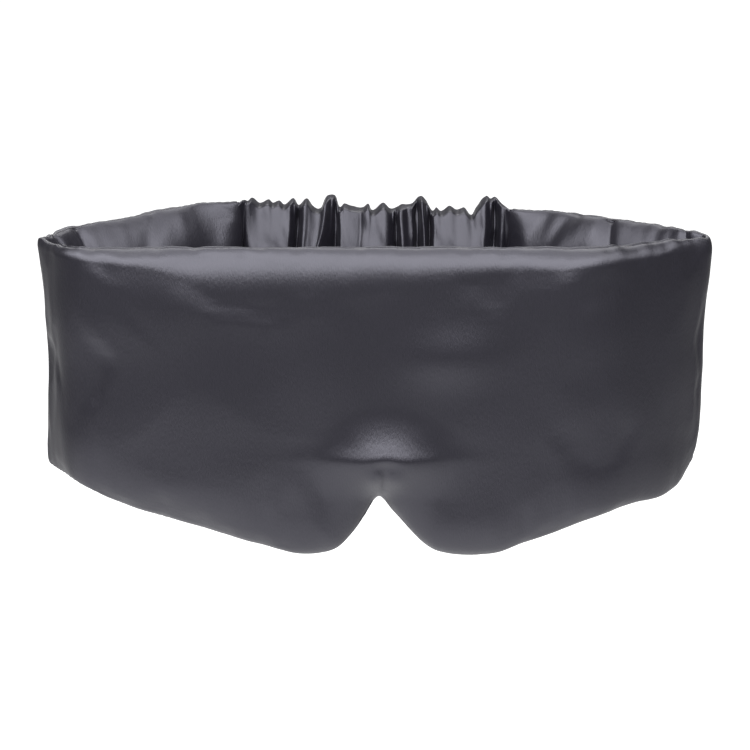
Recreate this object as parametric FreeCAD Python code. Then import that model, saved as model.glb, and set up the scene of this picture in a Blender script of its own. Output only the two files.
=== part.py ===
"""Padded wrap-around sleep eye mask: front panel, two side wings and a ruched elastic strap.

Frame: X to the right seen from the front, Y towards the back of the head, Z up, millimetres.
The origin is the centre of the head opening, halfway up the front panel.
Each panel is a satin shell (outer cover and lining) closed round a soft padding, with a
black light-stopping layer behind the outer cover. The wings turn about upright folds at
the ends of the front panel, and the strap is sewn into the far ends of the wings.
"""

import FreeCAD, Part
import math
import os

# Outline of the front panel, seen square on (the other half is its mirror image)
TOP_Z = 58.0
HIP_X = 118.0
HIP_Z = -26.0
THIGH_X = 108.0
THIGH_Z = -30.6
LOBE_OUTER_X = 56.0
LOBE_X = 32.0
LOBE_INNER_X = 14.5
LOBE_SHOULDER_Z = -53.0
LOBE_Z = -59.0
NOTCH_HALF = 2.2
NOTCH_SIDE_Z = -38.9
NOTCH_TOP_Z = -37.5
NOTCH_INSET_SHARE = 1.2
NOTCH_SIDE_INSET_SHARE = 0.7
LOBE_INNER_INSET_SHARE = 0.8
LOBE_OUTER_INSET_SHARE = 0.3
HIP_INSET_SHARE = 0.4

# Front panel from above: flat in the middle, rounded back towards the two folds
OUTER_Y = -48.0
OUTER_FLAT_X = 86.8
OUTER_CORNER_R = 37.0
OUTER_CORNER_DEG = 70.0
INNER_Y = -33.0
INNER_FLAT_X = 80.0
INNER_CORNER_R = 50.75
INNER_CORNER_DEG = 43.6

# Folds between front and wings, and seams between wings and strap
FOLD_X = 118.5
FOLD_Y = -20.0
SEAM_X = 52.0
SEAM_Y = 35.0

# Layers of a panel, and the steps that thin its rim down to the seam
COVER = 1.0
BLACKOUT = 0.8
LAYER_GAP = 0.1
BLACKOUT_INSET = 9.0
BLACKOUT_TURN_DEG = 60.0
FRONT_RIM_STEPS = ((5.5, 0.0), (2.0, 1.8), (0.0, 3.2))
WING_RIM_STEPS = ((3.5, 0.0), (0.0, 1.3))
SEAM_WIDTH = 1.6
SEAM_RISE = 0.7
TACK_R = 1.1
TACK_HALF_LENGTH = 4.0

# Wings: measured along the wing from its fold, and across it from its middle
WING_START = 5.0
WING_END_GAP = 4.8
WING_ROOT_HALF = 2.2
WING_TIP_HALF = 2.4
WING_BULGE_OUT = 8.5
WING_BULGE_IN = 4.0
WING_ROOT_FOOT_Z = -26.0
WING_TIP_FOOT_Z = -7.0
WING_TOP_FALL = 1.0

# Strap: two casing panels that slide past each other as it stretches, and the elastic between
STRAP_TOP_Z = 56.0
STRAP_FOOT_Z = -3.0
STRAP_HALF_DEPTH = 5.0
STRAP_NECK_HALF = 1.7
STRAP_NECK_LENGTH = 7.5
STRAP_SEAM_R = 1.8
STRAP_PANEL_STOP = 6.0
ELASTIC_THICK = 1.2
ELASTIC_TOP_Z = 46.0
ELASTIC_FOOT_Z = 6.0
ELASTIC_GAP = 0.3
CASING_SEAM_HEIGHT = 1.4

FAR = 200.0
PAST_FOLD = 4.0
PAST_WING = 50.0
WING_LENGTH = math.hypot(FOLD_X - SEAM_X, SEAM_Y - FOLD_Y)
WING_STOP = WING_LENGTH - WING_END_GAP
WING_TURN = math.degrees(math.atan2(SEAM_Y - FOLD_Y, SEAM_X - FOLD_X))


def vec(x, y, z=0.0):
    return FreeCAD.Vector(x, y, z)


def line(a, b):
    return Part.LineSegment(a, b).toShape()


def arc(a, b, c):
    return Part.Arc(a, b, c).toShape()


def slab(edges, depth):
    """The closed outline that the edges make, pushed along depth to a solid."""
    wire = Part.Wire(Part.__sortEdges__(edges))
    return Part.Face(wire).extrude(depth)


def upright(edges):
    """A plan's edges pushed through every height."""
    solid = slab(edges, vec(0, 0, 2 * FAR))
    solid.translate(vec(0, 0, -FAR))
    return solid


def crosswise(edges):
    """An outline's edges, drawn in X and Z, pushed through every depth."""
    solid = slab(edges, vec(0, 2 * FAR, 0))
    solid.translate(vec(0, -FAR, 0))
    return solid


def box(low, high):
    size = high - low
    return Part.makeBox(size.x, size.y, size.z, low)


def joined(solids):
    """The solids as one, without the faces between them."""
    whole = solids[0].multiFuse(solids[1:]).removeSplitter()
    return whole.Solids[0]


def save(name, shape):
    shape.exportStep(f"parts/{name}.step")


# ---- front panel ----


def on_corner(centre, radius, degrees, side):
    """A point on a front corner's arc, its turn measured from straight forward."""
    turn = math.radians(degrees)
    return vec(side * (centre.x + radius * math.sin(turn)), centre.y - radius * math.cos(turn))


def front_plan(outer_grow, inner_grow):
    """The front from above; each growth moves that face away from the padding."""
    outer_centre = vec(OUTER_FLAT_X, OUTER_Y + OUTER_CORNER_R)
    inner_centre = vec(INNER_FLAT_X, INNER_Y + INNER_CORNER_R)
    outer_r = OUTER_CORNER_R + outer_grow
    inner_r = INNER_CORNER_R - inner_grow
    edges = []
    starts = []
    for side in (1, -1):
        outer = [on_corner(outer_centre, outer_r, OUTER_CORNER_DEG * k / 2, side) for k in range(3)]
        inner = [on_corner(inner_centre, inner_r, INNER_CORNER_DEG * k / 2, side) for k in range(3)]
        edges += [arc(*outer), arc(*inner), line(outer[2], inner[2])]
        starts.append((outer[0], inner[0]))
    for right, left in zip(*starts):
        edges.append(line(left, right))
    return edges


def front_outline(inset):
    """The front's outline square on, moved inwards by inset."""
    hip_x = HIP_X - inset * HIP_INSET_SHARE
    lobe_start = vec(LOBE_OUTER_X - inset * LOBE_OUTER_INSET_SHARE, 0, LOBE_SHOULDER_Z + inset)
    corners = [
        vec(FAR, 0, TOP_Z - inset),
        vec(FAR, 0, HIP_Z + inset),
        vec(hip_x, 0, HIP_Z + inset),
        vec(hip_x - HIP_X + THIGH_X, 0, THIGH_Z + inset),
        lobe_start,
        vec(LOBE_INNER_X + inset * LOBE_INNER_INSET_SHARE, 0, LOBE_SHOULDER_Z + inset),
        vec(NOTCH_HALF + inset * NOTCH_SIDE_INSET_SHARE, 0, NOTCH_SIDE_Z + inset),
    ]
    lobe = vec(LOBE_X, 0, LOBE_Z + inset)
    notch_top = vec(0, 0, NOTCH_TOP_Z + inset * NOTCH_INSET_SHARE)
    edges = []
    ends = []
    for side in (1, -1):
        run = [vec(side * p.x, 0, p.z) for p in corners]
        for k in range(len(run) - 1):
            if corners[k] is lobe_start:
                edges.append(arc(run[k], vec(side * lobe.x, 0, lobe.z), run[k + 1]))
            else:
                edges.append(line(run[k], run[k + 1]))
        ends.append(run)
    edges.append(line(ends[0][0], ends[1][0]))
    edges.append(arc(ends[0][-1], notch_top, ends[1][-1]))
    return edges


def front_block(outer_grow, inner_grow, inset):
    return upright(front_plan(outer_grow, inner_grow)).common(crosswise(front_outline(inset)))


def front_cushion(outer_grow, inner_grow, inset):
    """The front's full form, thinned in steps towards its rim."""
    steps = [
        front_block(outer_grow - thin, inner_grow - thin, inset + step)
        for step, thin in FRONT_RIM_STEPS
    ]
    return joined(steps)


def front_middle(offset):
    """The line along the middle of the front's thickness, moved forward by offset, and its ends."""
    tips = []
    for centre_x, centre_y, radius, degrees in (
        (OUTER_FLAT_X, OUTER_Y + OUTER_CORNER_R, OUTER_CORNER_R, OUTER_CORNER_DEG),
        (INNER_FLAT_X, INNER_Y + INNER_CORNER_R, INNER_CORNER_R, INNER_CORNER_DEG),
    ):
        tips.append(on_corner(vec(centre_x, centre_y), radius, degrees, 1))
    tip = (tips[0] + tips[1]) * 0.5
    flat_x = (OUTER_FLAT_X + INNER_FLAT_X) / 2
    flat_y = (OUTER_Y + INNER_Y) / 2
    run = tip.x - flat_x
    rise = tip.y - flat_y
    radius = (run * run + rise * rise) / (2 * rise)
    degrees = math.degrees(math.asin(run / radius))
    centre = vec(flat_x, flat_y + radius)
    edges = []
    ends = []
    for side in (1, -1):
        points = [on_corner(centre, radius + offset, degrees * k / 2, side) for k in range(3)]
        edges.append(arc(*points))
        ends.append(points)
    edges.append(line(ends[0][0], ends[1][0]))
    return edges, ends[0][2], ends[1][2]


def front_band(width):
    """An upright band along the middle of the front's thickness."""
    outer, outer_right, outer_left = front_middle(width / 2)
    inner, inner_right, inner_left = front_middle(-width / 2)
    return upright(outer + inner + [line(outer_right, inner_right), line(outer_left, inner_left)])


def before_front():
    """Everything in front of the middle of the front's thickness."""
    edges, right, left = front_middle(0.0)
    beyond = vec(FOLD_X + PAST_FOLD, FOLD_Y + COVER)
    corner = vec(beyond.x + FAR, -FAR)
    for side, end in ((1, right), (-1, left)):
        turn = vec(side * beyond.x, beyond.y)
        edges.append(line(end, turn))
        edges.append(line(turn, vec(side * corner.x, corner.y)))
    edges.append(line(corner, vec(-corner.x, corner.y)))
    return upright(edges)


# ---- wings, made on the right and mirrored ----


def along_wing(distance, across, height=0.0):
    """A point by its distance from the fold along the right wing; positive across is outwards."""
    turn = math.radians(WING_TURN)
    return vec(
        FOLD_X + distance * math.cos(turn) + across * math.sin(turn),
        FOLD_Y + distance * math.sin(turn) - across * math.cos(turn),
        height,
    )


def wing_line(root, bulge, tip):
    """Three points of one face of the wing: at its start, its middle and its end."""
    return [
        along_wing(WING_START, root),
        along_wing((WING_START + WING_STOP) / 2, bulge),
        along_wing(WING_STOP, tip),
    ]


def between(outer, inner):
    """The upright solid between two three-point arcs."""
    return upright([arc(*outer), arc(*inner), line(outer[0], inner[0]), line(outer[2], inner[2])])


def outer_face(grow):
    return wing_line(WING_ROOT_HALF + grow, WING_BULGE_OUT + grow, WING_TIP_HALF + grow)


def inner_face(grow):
    return wing_line(-WING_ROOT_HALF - grow, -WING_BULGE_IN - grow, -WING_TIP_HALF - grow)


def wing_side(inset):
    """A slanting wedge that cuts the wing's top and foot to their lines."""
    reach = 3 * FAR
    low_rise = (WING_TIP_FOOT_Z - WING_ROOT_FOOT_Z) / WING_LENGTH
    top_fall = -WING_TOP_FALL / WING_LENGTH
    points = []
    for distance in (-reach / 2, reach / 2):
        points.append(along_wing(distance, 0, WING_ROOT_FOOT_Z + low_rise * distance + inset))
    for distance in (reach / 2, -reach / 2):
        points.append(along_wing(distance, 0, TOP_Z + top_fall * distance - inset))
    edges = [line(points[k], points[(k + 1) % 4]) for k in range(4)]
    push = along_wing(0, FAR) - along_wing(0, -FAR)
    wedge = slab(edges, push)
    wedge.translate(push * -0.5)
    return wedge


def wing_ends(inset):
    """A slab square to the wing that cuts its two ends."""
    start = WING_START + inset
    stop = WING_STOP - inset
    corners = [along_wing(start, FAR), along_wing(stop, FAR), along_wing(stop, -FAR), along_wing(start, -FAR)]
    return upright([line(corners[k], corners[(k + 1) % 4]) for k in range(4)])


def wing_cushion(outer_grow, inner_grow, inset):
    """The wing's full form, thinned in steps towards its top and foot."""
    steps = []
    for step, thin in WING_RIM_STEPS:
        plan = between(outer_face(outer_grow - thin), inner_face(inner_grow - thin))
        steps.append(plan.common(wing_side(inset + step)))
    return joined(steps).common(wing_ends(inset))


def wing_middle(offset):
    """The line along the middle of the wing's thickness, moved outwards by offset."""
    return wing_line(offset, (WING_BULGE_OUT - WING_BULGE_IN) / 2 + offset, offset)


def outside_wing():
    """Everything on the outer side of the middle of the wing's thickness."""
    run = wing_middle(0.0)
    start = along_wing(-PAST_WING, 0)
    stop = along_wing(WING_LENGTH + PAST_WING, 0)
    far_stop = along_wing(WING_LENGTH + PAST_WING, PAST_WING)
    far_start = along_wing(-PAST_WING, PAST_WING)
    edges = [arc(*run), line(start, run[0]), line(run[2], stop)]
    edges += [line(stop, far_stop), line(far_stop, far_start), line(far_start, start)]
    return upright(edges)


# ---- strap ----


def strap_panel(side):
    """Half the casing's depth: side 1 is the outer panel, fixed at the left, -1 the inner, fixed at the right."""
    fixed = -side
    near = SEAM_Y + side * (ELASTIC_THICK / 2 + ELASTIC_GAP)
    deep = SEAM_Y + side * STRAP_HALF_DEPTH
    neck = SEAM_Y + side * STRAP_NECK_HALF
    root = SEAM_X - STRAP_SEAM_R
    corners = [
        vec(fixed * root, near, STRAP_FOOT_Z),
        vec(fixed * root, neck, STRAP_FOOT_Z),
        vec(fixed * (root - STRAP_NECK_LENGTH), deep, STRAP_FOOT_Z),
        vec(-fixed * (SEAM_X - STRAP_PANEL_STOP), deep, STRAP_FOOT_Z),
        vec(-fixed * (SEAM_X - STRAP_PANEL_STOP), near, STRAP_FOOT_Z),
    ]
    edges = [line(corners[k], corners[(k + 1) % 5]) for k in range(5)]
    return slab(edges, vec(0, 0, STRAP_TOP_Z - STRAP_FOOT_Z))


def strap_strip(foot_z, top_z):
    """A flat strip between the two strap seams, in the casing's middle."""
    reach = SEAM_X - STRAP_SEAM_R
    half = ELASTIC_THICK / 2
    return box(vec(-reach, SEAM_Y - half, foot_z), vec(reach, SEAM_Y + half, top_z))


def strap_seam(side):
    height = STRAP_TOP_Z - STRAP_FOOT_Z
    return Part.makeCylinder(STRAP_SEAM_R, height, vec(side * SEAM_X, SEAM_Y, STRAP_FOOT_Z))


# ---- the sub-parts ----


def shell_halves(outside, inside, outer_side):
    """A closed cover's two cloths: the outer cover and the lining."""
    shell = outside.cut(inside)
    return shell.common(outer_side), shell.cut(outer_side)


def rim_seams(band, outside, grown, split_z):
    """The ridge that the seam makes along a panel's rim, above and below a height."""
    ridge = band.common(grown).cut(outside)
    above = box(vec(-FAR, -FAR, TOP_Z - WING_TOP_FALL - SEAM_RISE), vec(FAR, FAR, FAR))
    below = box(vec(-FAR, -FAR, -FAR), vec(FAR, FAR, split_z))
    return ridge.common(above), ridge.common(below)


def make_front():
    outside = front_cushion(COVER, COVER, 0.0)
    inside = front_cushion(0.0, 0.0, COVER)
    cover, lining = shell_halves(outside, inside, before_front())
    save("front_outer_cover", cover)
    save("front_lining", lining)
    save("front_padding", front_cushion(-BLACKOUT - 2 * LAYER_GAP, 0.0, COVER))
    save("front_blackout_layer", front_blackout())
    grown = crosswise(front_outline(-SEAM_RISE))
    top, bottom = rim_seams(front_band(SEAM_WIDTH), outside, grown, HIP_Z + SEAM_RISE)
    save("front_top_seam", top)
    save("front_bottom_seam", bottom)
    middle_y = (OUTER_Y + INNER_Y) / 2
    tack_z = NOTCH_TOP_Z - NOTCH_INSET_SHARE * SEAM_RISE - TACK_R
    middle = vec(0, middle_y - TACK_HALF_LENGTH, tack_z)
    tack = Part.makeCylinder(TACK_R, 2 * TACK_HALF_LENGTH, middle, vec(0, 1, 0))
    save("nose_notch_tack", tack)


def front_blackout():
    """A sheet that follows the padding's front face."""
    centre = vec(OUTER_FLAT_X, OUTER_Y + OUTER_CORNER_R)
    faces = []
    edges = []
    for grow in (-LAYER_GAP, -LAYER_GAP - BLACKOUT):
        tips = []
        for side in (1, -1):
            turns = (0.0, BLACKOUT_TURN_DEG / 2, BLACKOUT_TURN_DEG)
            run = [on_corner(centre, OUTER_CORNER_R + grow, turn, side) for turn in turns]
            edges.append(arc(*run))
            tips += [run[0], run[2]]
        edges.append(line(tips[0], tips[2]))
        faces.append(tips)
    edges += [line(faces[0][1], faces[1][1]), line(faces[0][3], faces[1][3])]
    return upright(edges).common(crosswise(front_outline(BLACKOUT_INSET)))


def make_wing(name, placed):
    outside = wing_cushion(COVER, COVER, 0.0)
    inside = wing_cushion(0.0, 0.0, COVER)
    cover, lining = shell_halves(outside, inside, outside_wing())
    band = between(wing_middle(SEAM_WIDTH / 2), wing_middle(-SEAM_WIDTH / 2))
    top, bottom = rim_seams(band, outside, wing_side(-SEAM_RISE), 0.0)
    parts = {
        "outer_cover": cover,
        "lining": lining,
        "padding": wing_cushion(-BLACKOUT - 2 * LAYER_GAP, 0.0, COVER),
        "blackout_layer": wing_blackout(),
        "top_seam": top,
        "bottom_seam": bottom,
    }
    for part, shape in parts.items():
        save(f"{name}_{part}", placed(shape))


def wing_blackout():
    """A sheet that follows the padding's outer face."""
    sheet = between(outer_face(-LAYER_GAP), outer_face(-LAYER_GAP - BLACKOUT))
    return sheet.common(wing_side(BLACKOUT_INSET)).common(wing_ends(BLACKOUT_INSET))


def same(shape):
    return shape


def mirrored(shape):
    return shape.mirror(vec(0, 0), vec(1, 0, 0))


def make_strap():
    save("strap_outer_cover", strap_panel(1))
    save("strap_inner_cover", strap_panel(-1))
    save("strap_elastic", strap_strip(ELASTIC_FOOT_Z, ELASTIC_TOP_Z))
    save("strap_casing_seam", strap_strip(STRAP_FOOT_Z, STRAP_FOOT_Z + CASING_SEAM_HEIGHT))
    save("left_strap_seam", strap_seam(-1))
    save("right_strap_seam", strap_seam(1))


def main():
    os.makedirs("parts", exist_ok=True)
    make_front()
    make_wing("right_wing", same)
    make_wing("left_wing", mirrored)
    make_strap()


main()
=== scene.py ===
"""Padded satin sleep eye mask: the looks of the front panel, the wings and the ruched strap."""

import bpy
import math
import numpy as np
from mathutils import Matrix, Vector


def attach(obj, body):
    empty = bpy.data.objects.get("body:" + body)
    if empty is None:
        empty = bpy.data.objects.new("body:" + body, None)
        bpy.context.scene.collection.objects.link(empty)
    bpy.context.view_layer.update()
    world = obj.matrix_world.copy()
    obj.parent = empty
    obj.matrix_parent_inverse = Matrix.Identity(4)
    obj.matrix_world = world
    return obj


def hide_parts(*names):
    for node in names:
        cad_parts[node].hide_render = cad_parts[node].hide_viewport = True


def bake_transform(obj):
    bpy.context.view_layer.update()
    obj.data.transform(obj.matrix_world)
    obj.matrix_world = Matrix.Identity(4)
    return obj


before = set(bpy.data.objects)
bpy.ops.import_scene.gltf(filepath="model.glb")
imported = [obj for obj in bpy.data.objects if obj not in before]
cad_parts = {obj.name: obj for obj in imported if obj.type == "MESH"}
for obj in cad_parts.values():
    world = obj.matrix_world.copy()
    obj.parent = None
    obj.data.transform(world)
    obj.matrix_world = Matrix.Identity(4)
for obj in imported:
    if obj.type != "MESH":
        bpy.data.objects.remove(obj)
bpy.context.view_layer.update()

bl_info = {
    "name": "Sleep eye mask",
    "version": (1, 0, 0),
    "blender": (4, 5, 0),
    "location": "3D View > Sidebar > Eye Mask",
    "description": "Builds a padded satin sleep eye mask piece by piece",
    "category": "Object",
}

MM = 0.001
FOLD_OVER = 3.0
WALL = 0.55


# ---- shapes in numbers ----


def smooth(t):
    """The easing from 0 to 1 that starts and ends level: three t squared less two t cubed."""
    t = np.clip(t, 0.0, 1.0)
    return t * t * (3.0 - 2.0 * t)


def bell(x, spread):
    """The bell curve: e to the power of minus x over spread, squared."""
    return np.exp(-((x / spread) ** 2))


def through(points, at):
    """The smooth curve through a few points: cubics with the mean slope of the chords beside each point."""
    px, py = np.array(points, float).T
    chord = np.diff(py) / np.diff(px)
    slope = np.concatenate([chord[:1], (chord[:-1] + chord[1:]) / 2, chord[-1:]])
    at = np.clip(at, px[0], px[-1])
    k = np.clip(np.searchsorted(px, at) - 1, 0, len(px) - 2)
    step = px[k + 1] - px[k]
    t = (at - px[k]) / step
    lift = py[k] * (1 + 2 * t) * (1 - t) ** 2 + py[k + 1] * t * t * (3 - 2 * t)
    return lift + step * t * (1 - t) * (slope[k] * (1 - t) - slope[k + 1] * t)


def ripple(x, waves):
    """A sum of sine waves, each given by its length, height and start in turns."""
    total = 0.0
    for length, height, start in waves:
        total = total + height * np.sin(2 * math.pi * (x / length + start))
    return total


def quarter(distance, reach):
    """A quarter circle's rise: upright at distance 0, level from reach on."""
    return np.sqrt(1.0 - (1.0 - np.clip(distance / reach, 0.0, 1.0)) ** 2)


def rounded_line(corners):
    """The line through corner points with an arc of a given radius in each corner, as close-set points."""
    points = [np.array(corners[0][:2], float)[None]]
    for before, here, after in zip(corners, corners[1:], corners[2:]):
        p = np.array(here[:2], float)
        a = np.array(before[:2], float) - p
        b = np.array(after[:2], float) - p
        a /= np.hypot(*a)
        b /= np.hypot(*b)
        half = math.acos(np.clip(a @ b, -1, 1)) / 2
        reach = here[2] / math.tan(half)
        centre = p + (a + b) / np.hypot(*(a + b)) * here[2] / math.sin(half)
        start = p + a * reach - centre
        stop = p + b * reach - centre
        t = np.linspace(0.0, 1.0, 40)[:, None]
        turn = math.pi - 2 * half
        arc = (np.sin((1 - t) * turn) * start + np.sin(t * turn) * stop) / math.sin(turn)
        points.append(centre + arc)
    points.append(np.array(corners[-1][:2], float)[None])
    return np.vstack(points)


class Plan:
    """The panels' middle line from above, by the distance run along it from the point in front."""

    def __init__(self, corners, soften):
        """Samples the line evenly, softens it with a bell-shaped window and finds its outward direction."""
        rough = rounded_line(corners)
        run = np.concatenate([[0.0], np.cumsum(np.hypot(*np.diff(rough, axis=0).T))])
        step = 0.2
        even = np.arange(0.0, run[-1], step)
        x = np.interp(even, run, rough[:, 0])
        y = np.interp(even, run, rough[:, 1])
        window = np.hanning(int(soften / step) | 1)
        window /= window.sum()
        pad = len(window) // 2
        ends = []
        for values in (x, y):
            first = values[0] - (values[1] - values[0]) * np.arange(pad, 0, -1)
            last = values[-1] + (values[-1] - values[-2]) * np.arange(1, pad + 1)
            ends.append(np.convolve(np.concatenate([first, values, last]), window, "valid"))
        self.x, self.y = ends
        front = self.y < -30.0
        zero = np.argmin(np.where(front, np.abs(self.x), 1e9))
        self.s = even - even[zero]
        hx = np.gradient(self.x)
        hy = np.gradient(self.y)
        size = np.hypot(hx, hy)
        self.nx = hy / size
        self.ny = -hx / size

    def at(self, s):
        """The place at a distance run along the line."""
        return np.interp(s, self.s, self.x), np.interp(s, self.s, self.y)

    def out(self, s):
        """The outward direction there, of length one."""
        nx = np.interp(s, self.s, self.nx)
        ny = np.interp(s, self.s, self.ny)
        size = np.hypot(nx, ny)
        return nx / size, ny / size

    def near(self, x, y):
        """The distance along the line of the point nearest to a given one."""
        return float(self.s[np.argmin(np.hypot(self.x - x, self.y - y))])


def spaced(start, stop, count, dense):
    """Positions from start to stop, closer together where the given density is higher."""
    fine = np.linspace(start, stop, 4000)
    run = np.concatenate([[0.0], np.cumsum(dense(fine)[:-1])])
    return np.interp(np.linspace(0.0, run[-1], count), run, fine)


def rim_rows(count):
    """Shares of the height, close together at both rims: half of one less a half turn's cosine."""
    return (1.0 - np.cos(np.linspace(0.0, math.pi, count))) / 2


# ---- meshes ----


def add_mesh(name, points, faces, uv=None):
    """A mesh object from points in millimetres, with its cloth coordinates if given."""
    mesh = bpy.data.meshes.new(name)
    mesh.from_pydata((points.reshape(-1, 3) * MM).tolist(), [], faces)
    if uv is not None:
        corner = np.zeros(len(mesh.loops), np.int64)
        mesh.loops.foreach_get("vertex_index", corner)
        layer = mesh.uv_layers.new(name="cloth")
        layer.data.foreach_set("uv", (uv.reshape(-1, 2)[corner] * MM).ravel())
    mesh.polygons.foreach_set("use_smooth", np.ones(len(mesh.polygons), bool))
    mesh.update()
    obj = bpy.data.objects.new(name, mesh)
    bpy.context.scene.collection.objects.link(obj)
    return obj


def quads(index):
    """The four-sided faces of a grid of vertex numbers."""
    return np.stack([index[:-1, :-1], index[:-1, 1:], index[1:, 1:], index[1:, :-1]], -1).reshape(-1, 4)


def sheet_mesh(name, grid, uv, flip=False):
    """An open grid of points as a mesh."""
    faces = quads(np.arange(grid.shape[0] * grid.shape[1]).reshape(grid.shape[:2]))
    if flip:
        faces = faces[:, ::-1]
    return add_mesh(name, grid, faces.tolist(), uv)


def tube_mesh(name, grid, uv=None, flip=False):
    """A grid whose rows close on themselves, with both ends shut by strips of faces."""
    rows, columns = grid.shape[:2]
    index = np.arange(rows * columns).reshape(rows, columns)
    faces = quads(np.vstack([index, index[:1]])).tolist()
    half = rows // 2
    for column, turned in ((index[:, 0], False), (index[:, -1], True)):
        cap = [[column[0], column[1], column[-1]]]
        for k in range(1, half - 1):
            cap.append([column[k], column[k + 1], column[-k - 1], column[-k]])
        cap.append([column[half - 1], column[half], column[half + 1]])
        faces += [[int(v) for v in (face[::-1] if turned else face)] for face in cap]
    if flip:
        faces = [face[::-1] for face in faces]
    return add_mesh(name, grid, faces, uv)


def thicken(obj, wall):
    """Gives a sheet a wall on its inner side."""
    solid = obj.modifiers.new("wall", "SOLIDIFY")
    solid.thickness = wall * MM
    solid.offset = -1.0
    return obj


# ---- the mask's own lines ----


def plan():
    """The panels' middle line, with its corners rounded to the sizes in the sidebar."""
    size = bpy.context.scene.mask_sizes
    left = bpy.context.scene.mask_sizes.left_corner
    right = bpy.context.scene.mask_sizes.right_corner
    fold = size.fold_radius / MM
    corners = [
        (-46.0, 39.0),
        (-113.5, -5.5, 22.0),
        (-121.8, -20.8, fold),
        (-108.6, -40.5, left / MM),
        (79.0, -40.5, right / MM),
        (124.6, -18.0, fold),
        (110.0, -10.0, 40.0),
        (46.0, 39.0),
    ]
    return Plan(corners, 3.0)


# The two folds and the two strap ends, each by the point of the middle line that it is nearest to
LEFT_FOLD = (-121.8, -20.8)
RIGHT_FOLD = (124.6, -18.0)
LEFT_END = (-52.0, 35.0)
RIGHT_END = (52.0, 34.5)

# The front's lower outline, left to right: place across, height
LOWER_LINE = (
    (-130.0, -28.6), (-122.0, -29.2), (-115.0, -29.7), (-107.0, -29.9), (-102.0, -30.9), (-97.0, -33.2),
    (-92.0, -36.3), (-82.0, -41.3), (-52.0, -51.4), (-38.5, -55.2), (-29.0, -57.7), (-22.5, -57.9),
    (-17.0, -57.0), (-13.0, -54.9), (-9.5, -51.2), (-6.0, -46.6), (-2.5, -40.8),
    (-0.4, -37.0), (1.5, -35.6), (3.2, -36.8), (5.4, -39.8), (9.0, -43.9),
    (13.0, -48.5), (17.0, -52.8), (21.0, -55.7), (27.0, -57.6), (36.0, -58.3),
    (45.0, -57.3), (53.0, -54.3), (63.0, -50.8), (81.5, -43.8), (93.0, -41.2),
    (107.0, -40.4), (112.0, -38.8), (116.0, -35.8), (119.5, -31.2), (123.0, -26.6), (130.0, -25.4),
)


def front_foot(line, s):
    """Height of the front's lower rim; beyond the flat, the place across is the distance run."""
    x, _ = line.at(s)
    left = line.near(*LEFT_FOLD)
    right = line.near(*RIGHT_FOLD)
    across = np.where(s < 0, s * LEFT_FOLD[0] / left, s * RIGHT_FOLD[0] / right)
    mixed = x + (across - x) * smooth((np.abs(x) - 60.0) / 50.0)
    return through(LOWER_LINE, mixed)


def top_height(line, s):
    """Height of the top rim all the way round."""
    left = line.near(*LEFT_FOLD)
    right = line.near(*RIGHT_FOLD)
    end_left = line.near(*LEFT_END)
    end_right = line.near(*RIGHT_END)
    marks = (
        (end_left, 58.4), (end_left + 16.0, 58.3), (end_left * 0.4 + left * 0.6, 56.2), (left - 8.0, 55.9),
        (left, 56.8), (left + 14.0, 57.2), (-60.0, 57.6), (40.0, 57.6), (right - 14.0, 57.2),
        (right, 57.2), (right + 10.0, 57.2), (right * 0.6 + end_right * 0.4, 56.6), (end_right, 55.6),
    )
    uneven = 0.35 + 0.65 * (bell(s - left, 26.0) + bell(s - right, 30.0))
    return through(marks, s) + uneven * ripple(s, ((27.0, 0.3, 0.2), (11.3, 0.2, 0.6), (6.1, 0.14, 0.3)))


def wing_foot(line, s):
    """Height of a wing's lower rim: from the fold's foot up to the strap's."""
    left = line.near(*LEFT_FOLD)
    right = line.near(*RIGHT_FOLD)
    end_left = line.near(*LEFT_END)
    end_right = line.near(*RIGHT_END)
    at_left = float(front_foot(line, np.array(left - FOLD_OVER)))
    at_right = float(front_foot(line, np.array(right + FOLD_OVER)))
    marks = (
        (end_left, -6.0), (end_left + 12.0, -8.2), (left - 30.0, -19.0), (left - FOLD_OVER, at_left),
        (0.0, at_left), (right + FOLD_OVER, at_right), (right + 30.0, -19.0),
        (end_right - 12.0, -8.2), (end_right, -6.0),
    )
    return through(marks, s)


def thickness(line, s, side):
    """Greatest depth of the padding on one side of the middle line, along the whole ring."""
    left = line.near(*LEFT_FOLD)
    right = line.near(*RIGHT_FOLD)
    end_left = line.near(*LEFT_END)
    end_right = line.near(*RIGHT_END)
    if side > 0:
        marks = (
            (end_left, 1.7), (end_left + 14.0, 4.6), ((end_left + left) / 2, 6.6), (left - 14.0, 5.0),
            (left, 2.6), (left + 14.0, 3.8), (left + 42.0, 7.4), (-20.0, 8.6), (30.0, 8.6),
            (right - 48.0, 8.2), (right - 16.0, 5.6), (right, 2.8), (right + 14.0, 4.6),
            ((end_right + right) / 2, 6.4), (end_right - 14.0, 4.6), (end_right, 1.7),
        )
    else:
        marks = (
            (end_left, 1.7), (end_left + 10.0, 5.6), ((end_left + left) / 2, 8.0), (left - 14.0, 6.0),
            (left, 1.5), (left + 14.0, 4.2), (left + 40.0, 7.4), (-20.0, 7.8), (30.0, 7.8),
            (right - 44.0, 7.4), (right - 16.0, 5.2), (right, 1.5), (right + 14.0, 4.4),
            ((end_right + right) / 2, 8.0), (end_right - 10.0, 5.6), (end_right, 1.7),
        )
    return through(marks, s)


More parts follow.
